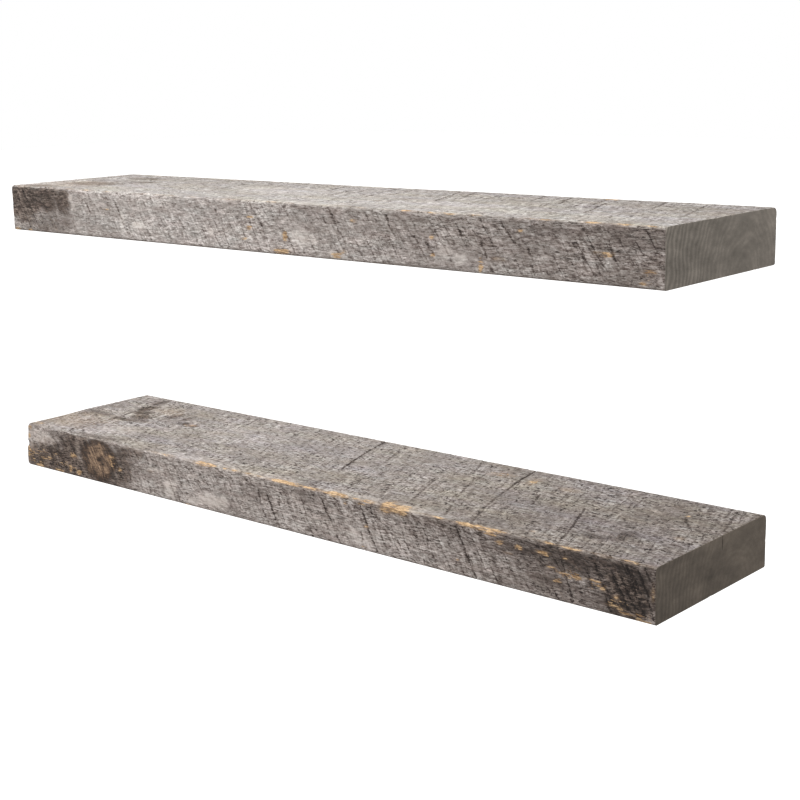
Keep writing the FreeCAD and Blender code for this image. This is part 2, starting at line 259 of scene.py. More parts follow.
def end_grid(ring_spots):
    """The cut end as a grid whose rim is the ring: a patch blended between its four edges."""
    a, b = STEPS_UP, STEPS_DEEP
    rim = np.concatenate([ring_spots, ring_spots[:1]])
    front, top = rim[:a + 1], rim[a:a + b + 1]
    back, bottom = rim[a + b:2 * a + b + 1][::-1], rim[2 * a + b:][::-1]
    u = np.linspace(0, 1, b + 1)[:, None, None]
    v = np.linspace(0, 1, a + 1)[None, :, None]
    patch = (1 - v) * bottom[:, None] + v * top[:, None] + (1 - u) * front[None] + u * back[None]
    patch -= (1 - u) * ((1 - v) * bottom[0] + v * top[0]) + u * ((1 - v) * bottom[-1] + v * top[-1])
    return patch


def end_numbers(ring, first):
    """The numbers of that grid's points: the ring's own on the rim, and new ones inside it."""
    a, b = STEPS_UP, STEPS_DEEP
    numbers = -np.ones((b + 1, a + 1), int)
    numbers[1:-1, 1:-1] = first + np.arange((b - 1) * (a - 1)).reshape(b - 1, a - 1)
    numbers[0, :] = ring[:a + 1]
    numbers[:, -1] = ring[a:a + b + 1]
    numbers[-1, ::-1] = ring[a + b:2 * a + b + 1]
    numbers[::-1, 0] = np.append(ring[2 * a + b:], ring[0])
    return numbers


SAWN, END_GRAIN, ROUTED, SPLIT = range(4)  # a beam's finishes, in the order of its materials


def in_scene(name, data):
    """Puts a mesh, lamp or camera into the scene."""
    thing = bpy.data.objects.new(name, data)
    bpy.context.scene.collection.objects.link(thing)
    return thing


def beam_mesh(name, node, wear, seed, woods):
    """A beam as one closed mesh, finer where it is seen, with its traces as attributes."""
    low, high = (np.array(corner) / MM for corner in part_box(node))
    middle = (low[2] + high[2]) / 2
    loop, outward = section_loop(low[1], low[2], high[2])
    around, fine = len(loop), STEPS_UP + STEPS_DEEP + 1
    stations = np.linspace(low[0] + ARRIS, high[0] - ARRIS, STEPS_LONG + 1)

    index = -np.ones((STEPS_LONG + 1, around), int)
    index[:, :fine] = 0
    index[::HIDDEN_STRIDE] = 0
    there = index == 0
    index[there] = np.arange(there.sum())
    station, column = np.nonzero(there)
    spots = np.column_stack([stations[station], loop[column]])
    normals = np.column_stack([np.zeros(len(spots)), outward[column]])
    ends = [np.column_stack([np.full(around, x), loop]) for x in (low[0], high[0])]
    spots = np.concatenate([spots, *ends])
    normals = np.concatenate([normals, *[np.column_stack([np.zeros(around), outward])] * 2])
    depth, traces = lumber_surface(spots, normals, middle, low[1], wear, seed)
    depth[-2 * around:] += ARRIS
    shell = spots - normals * depth[:, None]
    if wear["form"]:
        shell = wear["form"](shell, middle)

    faces = long_faces(index, fine)
    sawn_faces = len(faces)
    points, total = [shell], len(shell)
    rings = np.arange(total - 2 * around, total).reshape(2, around)
    for side, tube, ring in zip((-1, 1), (index[0], index[-1]), rings):
        for c in range(around):
            d = (c + 1) % around
            faces.append((ring[c], ring[d], tube[d], tube[c])[::-side])
        grid, numbers = end_grid(shell[ring]), end_numbers(ring, total)
        grid[..., 0] = np.clip(grid[..., 0], low[0], high[0])
        points.append(grid[1:-1, 1:-1].reshape(-1, 3))
        total += len(points[-1])
        for i, j in np.ndindex(STEPS_DEEP, STEPS_UP):
            quad = (numbers[i, j], numbers[i, j + 1], numbers[i + 1, j + 1], numbers[i + 1, j])
            faces.append(quad[::side])

    mesh = bpy.data.meshes.new(name)
    mesh.from_pydata(np.concatenate(points) * MM, [], faces)
    for trace, amounts in traces.items():
        held = mesh.attributes.new(trace, "FLOAT", "POINT")
        values = np.zeros(total, np.float32)
        values[:len(amounts)] = amounts
        held.data.foreach_set("value", values)
    kind = np.full(len(faces), SAWN, np.int32)
    kind[sawn_faces:] = END_GRAIN
    mesh.polygons.foreach_set("material_index", kind)
    mesh.polygons.foreach_set("use_smooth", np.ones(len(faces), bool))
    mesh.validate()
    for wood in woods:
        mesh.materials.append(wood)
    return in_scene(name, mesh)


def lofted(name, rings, finish=0):
    """A closed solid through a stack of rings of points, with flat ends, all in one finish."""
    rings = np.asarray(rings, float)
    layers, around = rings.shape[:2]
    here = np.arange(around)
    after = (here + 1) % around
    faces = [tuple(here[::-1]), tuple(here + (layers - 1) * around)]
    for layer in range(layers - 1):
        low, high = layer * around, (layer + 1) * around
        faces += [(low + a, low + b, high + b, high + a) for a, b in zip(here, after)]
    mesh = bpy.data.meshes.new(name)
    mesh.from_pydata(rings.reshape(-1, 3) * MM, [], faces)
    mesh.polygons.foreach_set("material_index", np.full(len(faces), finish, np.int32))
    shell = bmesh.new()
    shell.from_mesh(mesh)
    bmesh.ops.recalc_face_normals(shell, faces=shell.faces)
    shell.to_mesh(mesh)
    shell.free()
    return in_scene(name, mesh)


def turned_rings(x, z, profile, around):
    """Rings of points round an axis along Y, one for each (y, radius or radii) of the profile."""
    turn = np.linspace(0, 2 * math.pi, around, endpoint=False)
    return [np.column_stack([x + r * np.cos(turn), np.full(around, y), z + r * np.sin(turn)])
            for y, r in profile]


def carve(piece, cutter):
    """Takes the cutter's solid out of the piece, and the cutter out of the scene."""
    cut = piece.modifiers.new("cut", "BOOLEAN")
    cut.operation, cut.solver, cut.object = "DIFFERENCE", "MANIFOLD", cutter
    view = bpy.context.evaluated_depsgraph_get()
    carved, before = bpy.data.meshes.new_from_object(piece.evaluated_get(view)), piece.data
    while carved.materials and carved.materials[-1] is None:
        carved.materials.pop()
    piece.modifiers.clear()
    piece.data = carved
    carved.name = piece.name
    bpy.data.meshes.remove(before)
    bpy.data.objects.remove(cutter)


SEAT = (448.0, 22.0, 5.0, 4.5)  # recess: length, height, corner radius, depth
BORE_SPACING, BORE, BORE_MOUTH, BORE_END = 254.0, 12.6, 17.0, 109.0
DRILL_POINT = 118.0  # degrees between the lips of the drill


def cut_seat(beam, middle):
    """Routs the recess for the plate and drills a bore for each rod."""
    length, height, corner, depth = SEAT
    outline = []
    for number, (side, rise) in enumerate(((1, 1), (-1, 1), (-1, -1), (1, -1))):
        turn = np.radians(np.arange(0, 91, 15) + 90 * number)
        outline.append(np.column_stack([side * (length / 2 - corner) + corner * np.cos(turn),
                                        rise * (height / 2 - corner) + corner * np.sin(turn)]))
    across, up = np.concatenate(outline).T
    carve(beam, lofted("recess", [np.column_stack([across, np.full(len(up), y), middle + up])
                                  for y in (2.0, -depth)], finish=ROUTED))
    bore, mouth = BORE / 2, BORE_MOUTH / 2
    tip = BORE_END + bore / math.tan(math.radians(DRILL_POINT / 2))
    for x in (-BORE_SPACING / 2, BORE_SPACING / 2):
        profile = ((0.5 - depth, mouth + 0.5), (bore - mouth - depth, bore),
                   (-BORE_END, bore), (-tip, 0.05))
        carve(beam, lofted("bore", turned_rings(x, middle, profile, 48), finish=ROUTED))


class Wire:
    """An output of a finish's node. Sums, products and the like add the Math nodes for them."""

    def __init__(self, finish, socket):
        self.finish, self.socket = finish, socket

    def maths(self, operation, *others, clamp=False):
        """A Math node on this and the others."""
        settings = {"operation": operation, "use_clamp": clamp}
        return self.finish.node("Math", settings, dict(enumerate((self, *others))))

    def __add__(self, other):
        return self.maths("ADD", other)

    def __sub__(self, other):
        return self.maths("SUBTRACT", other)

    def __mul__(self, other):
        return self.maths("MULTIPLY", other)

    def __truediv__(self, other):
        return self.maths("DIVIDE", other)

    def __rsub__(self, other):
        return self.finish.node("Math", {"operation": "SUBTRACT"}, {0: other, 1: self})

    __radd__, __rmul__ = __add__, __mul__

    def fade(self, start, end):
        """Smooth step from 0 where this is start to 1 where it is end."""
        ends = {"From Min": start, "From Max": end} if start < end else {
            "From Min": end, "From Max": start, "To Min": 1.0, "To Max": 0.0}
        settings = {"interpolation_type": "SMOOTHSTEP"}
        return self.finish.node("MapRange", settings, {"Value": self, **ends})

    def held(self):
        """This, kept between 0 and 1."""
        return self.maths("ADD", 0.0, clamp=True)


class Finish:
    """A procedural material, made of the nodes that its methods add."""

    def __init__(self, name):
        self.material = bpy.data.materials.new(name)
        self.material.use_nodes = True
        self.tree = self.material.node_tree
        self.tree.nodes.clear()

    def node(self, kind, settings, values, out=0):
        """Adds a node, sets it up, feeds its sockets and returns one of its outputs."""
        made = self.tree.nodes.new("ShaderNode" + kind)
        for setting, choice in settings.items():
            if setting == "stops":
                band = made.color_ramp.elements
                while len(band) < len(choice):
                    band.new(1.0)
                for stop, (place, colour) in zip(band, choice):
                    stop.position, stop.color = place, (*colour, 1.0)
            else:
                setattr(made, setting, choice)
        for socket, value in values.items():
            if isinstance(value, Wire):
                self.tree.links.new(value.socket, made.inputs[socket])
            else:
                made.inputs[socket].default_value = value
        return Wire(self, made.outputs[out]) if made.outputs else None

    def place(self):
        """Where a spot is, in millimetres."""
        return self.times(self.node("TexCoord", {}, {}, "Object"), (1 / MM,) * 3)

    def part(self, spot, axis):
        """One coordinate of a spot."""
        return self.node("SeparateXYZ", {}, {"Vector": spot}, axis)

    def trace(self, name):
        """One of the traces kept in the mesh."""
        return self.node("Attribute", {"attribute_name": name}, {}, "Fac")

    def noise(self, spot, per_mm, detail=2.0, roughness=0.5, twist=0.0):
        """Noise from 0 to 1 with this many turns for each millimetre along X, Y and Z."""
        values = {"Vector": self.times(spot, per_mm), "Scale": 1.0, "Detail": detail,
                  "Roughness": roughness, "Distortion": twist}
        return self.node("TexNoise", {}, values)

    def ramp(self, amount, stops):
        """A colour read off a band of (place, colour) stops."""
        return self.node("ValToRGB", {"stops": stops}, {"Fac": amount}, "Color")

    def blend(self, share, first, second):
        """The first colour, with the second over it by the share."""
        first, second = (c if isinstance(c, Wire) else (*c, 1.0) for c in (first, second))
        return self.node("Mix", {"data_type": "RGBA"}, {0: share, 6: first, 7: second}, 2)

    def times(self, colour, factor):
        """A colour or a place, multiplied part by part."""
        return self.node("VectorMath", {"operation": "MULTIPLY"}, {0: colour, 1: factor})

    def surface(self, colour, roughness, bumps=(), **fixed):
        """Ends the material with a Principled surface and a chain of (height, depth) bumps."""
        normal = {}
        for height, reach in bumps:
            values = {"Height": height, "Distance": reach * MM, "Strength": 1.0, **normal}
            normal = {"Normal": self.node("Bump", {}, values, "Normal")}
        values = {"Base Color": colour, "Roughness": roughness, **normal, **fixed}
        shade = self.node("BsdfPrincipled", {}, values, "BSDF")
        self.node("OutputMaterial", {}, {"Surface": shade})
        return self.material


def weathered_wood(name, tint, front_contrast, top_contrast):
    """Grey felted fibres over hollows darkened by grime and painted shade, tan where the grey skin
    is rubbed or split off.
    """
    wood = Finish(name)
    spot = wood.place()
    run, topside = wood.trace("saw_run"), wood.trace("topside")
    felt = wood.noise(spot, (0.19, 0.42, 0.82), 5.0, 0.7, 0.3)
    grain = wood.noise(spot, (0.05, 0.2, 0.4), 4.0, 0.65, 0.2)
    hairs = wood.noise(spot, (0.28, 0.75, 1.4), 3.0, 0.75)
    clouds = wood.noise(spot, (0.025, 0.05, 0.07), 3.0, 0.55)
    pitted = wood.noise(spot, (0.33, 0.3, 0.65), 3.0, 0.65)
    split = wood.noise(spot, (0.1, 0.25, 0.5), 4.0, 0.65, 0.5)
    leaning = wood.node("CombineXYZ", {}, {"X": run, "Y": wood.part(spot, "Y") * 0.17,
                                           "Z": wood.part(spot, "Z") * 0.3})
    teeth = wood.noise(leaning, (0.45, 0.45, 0.45), 4.0, 0.7, 0.2)
    bands = wood.noise(leaning, (0.12, 0.2, 0.2), 3.0, 0.6, 0.2)

    hollow, fresh = wood.trace("hollow"), wood.trace("fresh")
    rubbed, stain, tone = wood.trace("rubbed"), wood.trace("stain"), wood.trace("tone")

    # Openings in the skin: the teeth's lines and marks, pits, and cracks along the grain.
    phase = (run / SAW_PITCH).maths("FRACT") - 0.5
    stroke = phase.maths("ABSOLUTE") * SAW_PITCH
    line = (stroke + (felt - 0.5) * 3.5).fade(0.75, 0.15) * (teeth - 0.5 + clouds).fade(0.46, 0.58)
    gap = wood.trace("mark_gap") + (felt - 0.5) * 1.6 - topside * 0.22
    mark = gap.fade(1.1, 0.3) * wood.trace("mark_bite")
    pit = pitted.fade(0.59, 0.65) * (1 - rubbed)
    crack = (split - 0.5).maths("ABSOLUTE").fade(0.026, 0.008)
    crack = crack * grain.fade(0.46, 0.56) * (1 - rubbed)
    # painted darker: partly grime in the openings, partly painted shade that falls into them
    grime_and_shade_in_openings = pit * (topside * 0.5 + 0.32) + crack * (topside * 0.15 + 0.32) + line * 0.24

    # How light each spot is: fine fibres, broad bands, rubbed places and the marks.
    scallop = phase * (bands - 0.2)
    texture = ((felt.fade(0.32, 0.68) - 0.5) * 0.48 + (hairs.fade(0.34, 0.66) - 0.5) * 0.36
               + (teeth.fade(0.32, 0.68) - 0.5) * 0.26 - hollow * 0.12 - grime_and_shade_in_openings.held())
    worn = (rubbed * 1.15 - 0.05 + (felt - 0.5) * rubbed.fade(0.0, 0.3) * 1.6).held()
    texture = texture * (clouds.fade(0.34, 0.66) * 0.5 + 0.8) * (1 - rubbed * 0.2)
    texture = (texture + (grain - 0.5) * 0.75 + (bands - 0.5) * 0.44 + scallop * 0.3
               + (clouds - 0.5) * 0.6 + worn * 0.29 + topside * 0.022 + 0.075)
    contrast = (topside * (top_contrast - front_contrast) + front_contrast) * (1 + stain * 0.12)
    # the marks are painted darker too, partly as grime and partly as painted shade in their grooves
    light = texture * contrast + tone + 0.62 - mark * (contrast * 0.42 + topside * 0.14)
    grey = wood.ramp(light * 0.8, (
        (0.0, (0.040, 0.030, 0.0255)),
        (0.2, (0.137, 0.109, 0.094)),
        (0.4, (0.314, 0.276, 0.251)),
        (0.6, (0.525, 0.486, 0.456)),
        (0.8, (0.800, 0.762, 0.722)),
        (1.0, (0.990, 0.970, 0.940)),
    ))
    brown = wood.ramp(light, (
        (0.1, (0.0145, 0.010, 0.008)),
        (0.45, (0.056, 0.041, 0.033)),
        (0.75, (0.172, 0.134, 0.110)),
        (1.0, (0.360, 0.300, 0.255)),
    ))
    ragged = (teeth - 0.5) * 3.0 + (felt - 0.5) * 2.4 + (bands - 0.5) * 1.6
    ragged = ragged * stain.fade(0.0, 0.35)
    colour = wood.blend((stain * 1.6 - 0.15 + ragged).held(), grey, brown)
    colour = wood.times(colour, tint)
    yellowed = wood.noise(spot, (0.016, 0.04, 0.07), 6.0, 0.72) - 0.5
    rosy = wood.noise(spot, (0.05, 0.12, 0.2), 5.0, 0.7) - 0.5
    hue = wood.node("CombineXYZ", {}, {
        "X": 1.0 - topside * 0.024 + rosy * 0.19 + yellowed * 0.06,
        "Y": 1.0 + topside * 0.007,
        "Z": 1.0 + topside * 0.009 - yellowed * (topside * 0.44 + 0.06)})
    colour = wood.times(colour, hue)
    colour = wood.blend(worn * 0.24, colour, (0.68, 0.595, 0.52))

    # The knot's own rings, from its dark heart to the dark line round it.
    ring = wood.trace("ring")
    heart = wood.ramp((0.52 + (felt - 0.5) * 1.0 + (teeth - 0.5) * 2.2 + (hairs - 0.5) * 0.8
                       - ring.fade(4.5, 1.0) * 0.6 - ring.fade(12.0, 20.0) * 0.42).held(), (
        (0.0, (0.030, 0.019, 0.014)),
        (0.35, (0.118, 0.076, 0.051)),
        (0.7, (0.345, 0.232, 0.150)),
        (1.0, (0.560, 0.395, 0.260)),
    ))
    knotty = wood.trace("knot") * (1.0 + (felt - 0.5) * 2.5 + (teeth - 0.5) * 2.0)
    colour = wood.blend(knotty.held(), colour, heart)

    # Tan wood where the grey skin has split off, and its thin shreds where it is grazed.
    shreds = wood.noise(spot, (0.12, 0.35, 1.2), 4.0, 0.7, 0.3)
    tan = wood.ramp(shreds + (hairs - 0.5) * 1.2, (
        (0.3, (0.190, 0.105, 0.050)),
        (0.5, (0.510, 0.325, 0.165)),
        (0.66, (0.840, 0.600, 0.350)),
    ))
    bare = (fresh * 0.98 + (shreds - 0.5) * 3.6).fade(0.56, 0.68) * fresh.fade(0.4, 0.6)
    grazed = wood.trace("grazed")
    thin = wood.noise(spot, (0.09, 0.45, 1.0), 2.0, 0.6)
    lifted = (grazed + (thin - 0.5) * 2.6 + (teeth - 0.5) * 1.4).fade(0.72, 0.86)
    lifted = lifted * grazed.fade(0.08, 0.35)
    colour = wood.blend((bare + lifted + fresh * 0.4).held() * 0.92, colour, tan)
    height = (felt * 0.5 + hairs * 0.25 + teeth * 0.4 - (pit + crack + line + mark) * 0.3).held()
    return wood.surface(colour, 0.86 + (hairs - 0.5) * 0.2, [(height, 0.45)])


PITH_IN, PITH_LOW, YEAR = 40.0, 24.0, 4.1  # from the wall, below the middle; one ring's growth


def cut_end(name, tint, line, ring_strength, shade):
    """Smooth end grain under a thin olive stain, with growth rings round a pith low at the back."""
    wood = Finish(name)
    spot = wood.place()
    drift = wood.noise(spot, (0.02, 0.05, 0.05), 2.0)
    cells = wood.noise(spot, (0.6, 0.8, 1.6), 3.0, 0.7)
    smudge = wood.noise(spot, (0.1, 0.045, 0.09), 4.0, 0.6)
    deep, z = wood.part(spot, "Y") + PITH_IN, wood.part(spot, "Z")
    rise = z - line + PITH_LOW
    away = (deep * deep + rise * rise * 0.55).maths("SQRT") + (drift - 0.5) * 12.0
    rings = (away * (2 * math.pi / YEAR)).maths("SINE")
    strong = smudge.fade(0.38, 0.6)
    fading = deep.fade(-10.0, -85.0)
    light = (0.5 + rings * (0.03 + strong * 0.045 + fading * 0.12) * ring_strength
             + (cells - 0.5) * 0.6 + (smudge - 0.5) * 1.5 + deep * 0.0012 + (z - line) * shade)
    colour = wood.ramp(light, (
        (0.0, (0.190, 0.172, 0.144)),
        (0.5, (0.375, 0.340, 0.290)),
        (1.0, (0.620, 0.560, 0.480)),
    ))
    colour = wood.times(colour, tint)
    return wood.surface(colour, 0.62 + (cells - 0.5) * 0.2, [(cells * 0.5 + rings * 0.1, 0.06)])


def routed_wood(name):
    """The sawn-open inside of the lumber: paler brown, with the fine rings of the cutter."""
    wood = Finish(name)
    spot = wood.place()
    grain = wood.noise(spot, (0.05, 0.9, 0.9), 4.0, 0.6, 0.3)
    chatter = (wood.part(spot, "X") * 2.6 + grain * 6.0).maths("SINE")
    colour = wood.ramp(grain + chatter * 0.03, (
        (0.3, (0.200, 0.120, 0.065)),
        (0.5, (0.400, 0.270, 0.160)),
        (0.7, (0.560, 0.410, 0.270)),
    ))
    return wood.surface(colour, 0.8 + (grain - 0.5) * 0.2, [(grain * 0.6 + chatter * 0.1, 0.1)])


def hang(beam, node, body):
    """Places a beam on its body and lets it stand for its node."""
    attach(beam, body)
    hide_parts(node)


def upper_tone_and_painted_light(x, y, z, front, top):
    """Where the front and the top have bleached or darkened, added to their lightness, with a
    painted fall-off of light on the top.
    """
    on_front = (0.02 + 0.06 * fade(-230, -200, x) - 0.22 * fade(-150, 300, x)
                - 0.003 * z * fade(-150, 100, x)
                - 0.08 * fade(-238, -262, x) * fade(-10, 6, z) - 0.06 * fade(170, 260, x)
                - 0.08 * fade(-270, -290, x) * fade(-2, -14, z))
    # on the top, the darkening towards the right end is a painted fall-off of light
    on_top = (0.09 * fade(-20, -110, y) - 0.05 - 0.03 * fade(100, 300, x)
              - 0.08 * fade(-200, -235, x) * fade(-288, -265, x) * fade(-20, -80, y)
              + 0.045 * fade(-110, -70, x) * fade(80, 40, x) * fade(-100, -60, y))
    return front * on_front + top * on_top


# The worn edge is (from, to, width, weight), a knot is (along, up, half length, half width), and
# "across" is up from the middle on the front, and from the wall on top.
UPPER_WEAR = {
    "lean": 0.64,
    "front_marks": (
        (0.9, (-211, 9), (-204, 0)), (1.0, (-176, 12), (-171, 4), (-165, -8)),
        (0.8, (-63, 10), (-61, 6)), (0.9, (-64, 1), (-59, -7)), (0.9, (-57, 4), (-54, -7)),
        (0.9, (-33, 15), (-30, 8), (-27, 3)), (0.8, (-18, 4), (-15, -1)),
        (1.0, (6, -2), (13, -11)), (0.9, (47, 17), (53, 8), (57, 0)), (1.0, (42, 10), (45, 6)),
        (0.8, (52, -10), (57, -14)), (1.0, (99, 14), (101, 7)), (0.9, (103, 5), (107, -1)),
        (1.0, (122, 2), (132, -12)), (0.9, (131, -1), (138, -9)), (0.9, (146, -2), (152, -12)),
        (0.8, (92, -10), (95, -16)), (0.9, (157, 10), (162, 0)), (0.9, (172, 8), (180, -8)),
        (0.9, (190, 15), (201, 2)), (1.0, (211, 0), (212, -4)), (0.9, (243, 5), (252, -5)),
        (1.0, (267, 8), (272, -3)), (0.9, (258, -5), (263, -13)),
    ),
    "top_marks": (
        (0.9, (62, -8), (74, -32), (90, -70)), (1.0, (157, -4), (166, -28), (176, -48)),
        (0.7, (5, -10), (15, -40), (30, -76)), (0.7, (-45, -12), (-30, -48)),
        (0.6, (-130, -40), (-110, -95)), (0.7, (200, -30), (222, -88)), (0.6, (20, -5), (34, -50)),
        (0.6, (75, -5), (90, -40)), (0.5, (105, -20), (125, -80)), (0.6, (135, -3), (148, -40)),
        (0.5, (185, -5), (205, -60)), (0.6, (230, -4), (246, -50)), (0.5, (262, -10), (282, -70)),
        (0.5, (-90, -5), (-72, -60)), (0.5, (-15, -40), (0, -100)),
    ),
    "front_rubs": (
        (-148, -6, 9, 3.2, 1.0), (-167, -4, 4, 8, 0.7), (-68, -6, 4, 3.5, 0.8),
        (22, -5, 13, 7, 0.75), (34, -7, 4, 3, 0.8), (55, -14, 10, 3, 0.5), (146, -7, 9, 6, 0.7),
        (158, -10, 7, 5, 0.7), (-229, 11, 3, 3, 1.0), (-226, 4, 3, 4, 0.6),
    ),
    "top_rubs": ((-60, -60, 60, 30, 0.25), (120, -90, 70, 30, 0.2), (25, -124, 42, 8, 0.45)),
    "front_flecks": (
        (-184, 4, 5.4, 1.1, 0.7), (-27, 6.5, 5.4, 1.2, 0.9), (-29, -1, 3.4, 2, 1),
        (-34, -9, 6.75, 0.98, 0.7), (6, -5, 3, 5, 1), (3, -15.5, 12.2, 2.4, 1),
        (54, -15, 6, 2.4, 1), (61, -12, 4, 1.6, 0.9), (70, 9, 4, 1.5, 0.9), (136, 2, 3, 1.4, 0.9),
        (137, -9, 3, 1.4, 0.9), (175, -14, 2.5, 4, 0.9), (188, -8, 8.1, 1.5, 0.5),
        (205, 10, 4.05, 0.8, 0.8), (265, 0.5, 8.5, 1.1, 0.75), (295, -8, 7, 1.3, 0.8),
        (291, -15, 4, 1.6, 0.95), (-300, -17, 5, 2, 1), (-284, -17, 4, 1.4, 1),
        (-150, -5, 5.4, 0.8, 0.3),
    ),
    "top_flecks": ((188, -6, 8, 4, 0.8), (60, -90, 10, 5, 0.3), (-268, -98, 44, 36, 0.38)),
    "front_grazes": (
        (2, -14, 12, 4, 0.4), (55, -12, 8, 4, 0.4), (262, 0, 12, 3, 0.6), (290, -12, 12, 6, 0.5),
        (175, -12, 4, 6, 0.5),
    ),
    "top_grazes": ((190, -8, 14, 4, 0.5),),
    "front_stains": (
        (-288, 6, 34, 20, 1.0), (-262, 9, 30, 15, 0.9), (-240, 8, 13, 14, 0.95),
        (-266, -10, 44, 14, 0.42), (290, 10, 30, 10, 0.3),
    ),
    "top_stains": (
        (-250, -34, 26, 12, 0.45), (-252, -88, 34, 20, 0.4), (-282, -122, 24, 12, 0.5),
        (-225, -60, 20, 8, 0.4),
    ),
    "front_knots": (),
    "worn_edge": ((-HALF_LONG, HALF_LONG, 1.1, 0.75), (60, 120, 1.3, 0.75), (128, 302, 1.4, 0.82)),
    "tone": upper_tone_and_painted_light,
    "form": None,
}

upper_beam = beam_mesh("upper_beam", "upper_shelf_beam", UPPER_WEAR, 100, (
    weathered_wood("upper_lumber", (0.978, 0.963, 0.962), 0.76, 0.62),
    cut_end("upper_end_grain", (1.060, 1.075, 1.085), SHELF_LINES["upper"], 0.95, 0.0),
    routed_wood("routed_wood")))
cut_seat(upper_beam, SHELF_LINES["upper"])
hang(upper_beam, "upper_shelf_beam", "upper_shelf")


# ---------------------------------------- Lower shelf
# A second beam of the same lumber, a little darker and 4 mm deeper. It has a knot, the round scar
# of a split-off flake at its left end, and a season check that opened as it dried.

LOWER_FRONT = -134.0
SCAR, SCAR_DEPTH, SCAR_LINE = 35.0, 2.4, 32.0  # radius, depth, and height above the middle
CHECK = (-57.0, 0.35, 10.0, 26.0)  # place along Y, half width at the mouth, drop, run along X


def broken_corner(shell, middle):
    """The round scar of a split-off flake and the notch under it, with both corners worn off."""
    x, y, z = shell.T
    x, z = x + HALF_LONG, z - middle
    away = np.hypot(x, z - SCAR_LINE) + 1.6 * wander(shell, (9, 9, 5), 77)
    ball = (SCAR**2 + SCAR_DEPTH**2) / (2 * SCAR_DEPTH)
    scoop = np.sqrt(np.maximum(ball**2 - away**2, 0)) - (ball - SCAR_DEPTH)
    scoop = np.where(away < SCAR, scoop + 0.5 * fade(SCAR, SCAR - 1.5, away), 0)
    notch = 2.2 * fade(3.4, 0.8, np.hypot(x, (z - 0.5) * 0.9))
    shell[:, 1] += np.maximum(scoop, notch) * (1 - np.clip((y - LOWER_FRONT) / 8, 0, 1)) ** 2
    for radius, side in ((5.0, 1), (3.5, -1)):  # the corner above, and the one below
        in_x, in_z = radius - x, side * z - (HALF_THICK - radius)
        reach = np.hypot(in_x, in_z)
        worn = (in_x > 0) & (in_z > 0) & (reach > radius)
        share = (radius / reach[worn] - 1) * fade(-60, -125, y[worn])
        shell[worn, 0] -= in_x[worn] * share
        shell[worn, 2] += side * in_z[worn] * share
    return shell


def open_check(beam, middle):
    """Splits the beam's right end with a crooked wedge that thins out along the grain."""
    place, half, drop, run = CHECK
    above = HALF_THICK + 2
    slices = []
    for inside, share in ((-2, 1.0), (2, 1.0), (8, 0.85), (14, 0.65), (20, 0.4), (run, 0.06)):
        x = HALF_LONG - inside
        bend = 0.35 * math.sin(x)
        low, between = HALF_THICK - drop * share, HALF_THICK - drop * share * 0.45
        slices.append([(x, place + y, middle + z) for y, z in (
            (-half * share, above), (-half * share * 0.6 + bend, between), (bend * 0.4, low),
            (half * share * 0.6 + bend, between), (half * share, above))])
    carve(beam, lofted("check", slices, finish=SPLIT))


def split_painted_shade(name):
    """The torn fibres inside the check, painted near black as the shade that fills the narrow
    split.
    """
    wood = Finish(name)
    fibres = wood.noise(wood.place(), (0.1, 1.5, 1.5), 3.0, 0.6)
    colour = wood.ramp(fibres, ((0.3, (0.012, 0.009, 0.007)), (0.7, (0.055, 0.042, 0.032))))
    return wood.surface(colour, 0.9 + (fibres - 0.5) * 0.1, [(fibres, 0.2)])


def lower_tone_and_painted_light(x, y, z, front, top):
    """Where the lower beam's front and top have bleached or darkened, plus on the top a painted
    fall-off of light and painted light at the back.
    """
    on_front = (0.12 * fade(-190, -150, x) - 0.03 * fade(-150, -60, x) - 0.29 * fade(60, 300, x)
                - 0.004 * z * fade(-150, 60, x)
                - 0.1 * fade(2, 14, z) * fade(0, 50, x) * fade(240, 180, x))
    # on the top, lighter at the left end and darker towards the right: a painted fall-off of light
    on_top = (0.05 * fade(-60, -140, x) - 0.02 + 0.05 * fade(-230, -270, x) * fade(-60, -120, y)
              - 0.11 * fade(-276, -296, x) * fade(-30, -90, y)
              - 0.03 * fade(-190, -215, x) * fade(-130, -70, y)
              # painted light: lifts the back of the top's middle out of the shade under the upper
              # shelf
              + 0.05 * fade(-165, -130, x) * fade(50, 0, x) * fade(-115, -70, y)
              - 0.12 * fade(40, 300, x))
    return front * on_front + top * on_top


